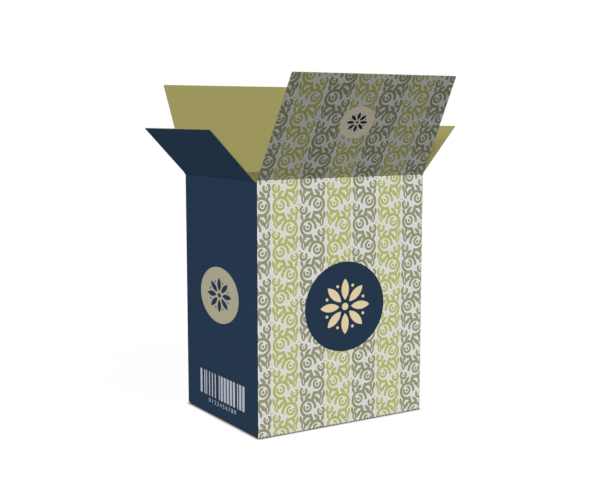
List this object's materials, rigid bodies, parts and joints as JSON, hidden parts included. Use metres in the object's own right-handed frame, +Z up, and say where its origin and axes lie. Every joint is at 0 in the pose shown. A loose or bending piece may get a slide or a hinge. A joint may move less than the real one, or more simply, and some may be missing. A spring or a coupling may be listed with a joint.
{
  "type": "seal end box",
  "caption": "Upright folding carton of printed paperboard with a glued bottom, a glued side seam and top flaps that stand open on their creases.",
  "frame": {"origin": "centre of the carton's underside", "axes": "+Z up along the carton's height, front panel towards -Y, +X to the right along the front panel"},
  "size_m": [0.1745, 0.162, 0.2094],
  "materials": {
    "patterned_board": "matt-coated folding boxboard, pale grey with an olive print outside and plain olive inside",
    "navy_board": "matt-coated folding boxboard, solid navy outside and plain olive inside"
  },
  "bodies": {
    "body": {"carton_body": "patterned_board"},
    "front": {"front_flap": "patterned_board"},
    "back": {"back_flap": "patterned_board"},
    "left": {"left_flap": "navy_board"},
    "right": {"right_flap": "navy_board"}
  },
  "joints": [
    {"name": "front_crease", "type": "hinge", "parent": "body", "child": "front", "pos_m": [0, -0.046, 0.15], "axis": [-1, 0, 0], "range_deg": [-140.8, 119.2]},
    {"name": "back_crease", "type": "hinge", "parent": "body", "child": "back", "pos_m": [0, 0.046, 0.14945], "axis": [1, 0, 0], "range_deg": [-137, 123]},
    {"name": "left_crease", "type": "hinge", "parent": "body", "child": "left", "pos_m": [-0.0595, 0, 0.1489], "axis": [0, 1, 0], "range_deg": [-126.4, 133.6]},
    {"name": "right_crease", "type": "hinge", "parent": "body", "child": "right", "pos_m": [0.0595, 0, 0.1489], "axis": [0, -1, 0], "range_deg": [-128.5, 131.5]}
  ]
}
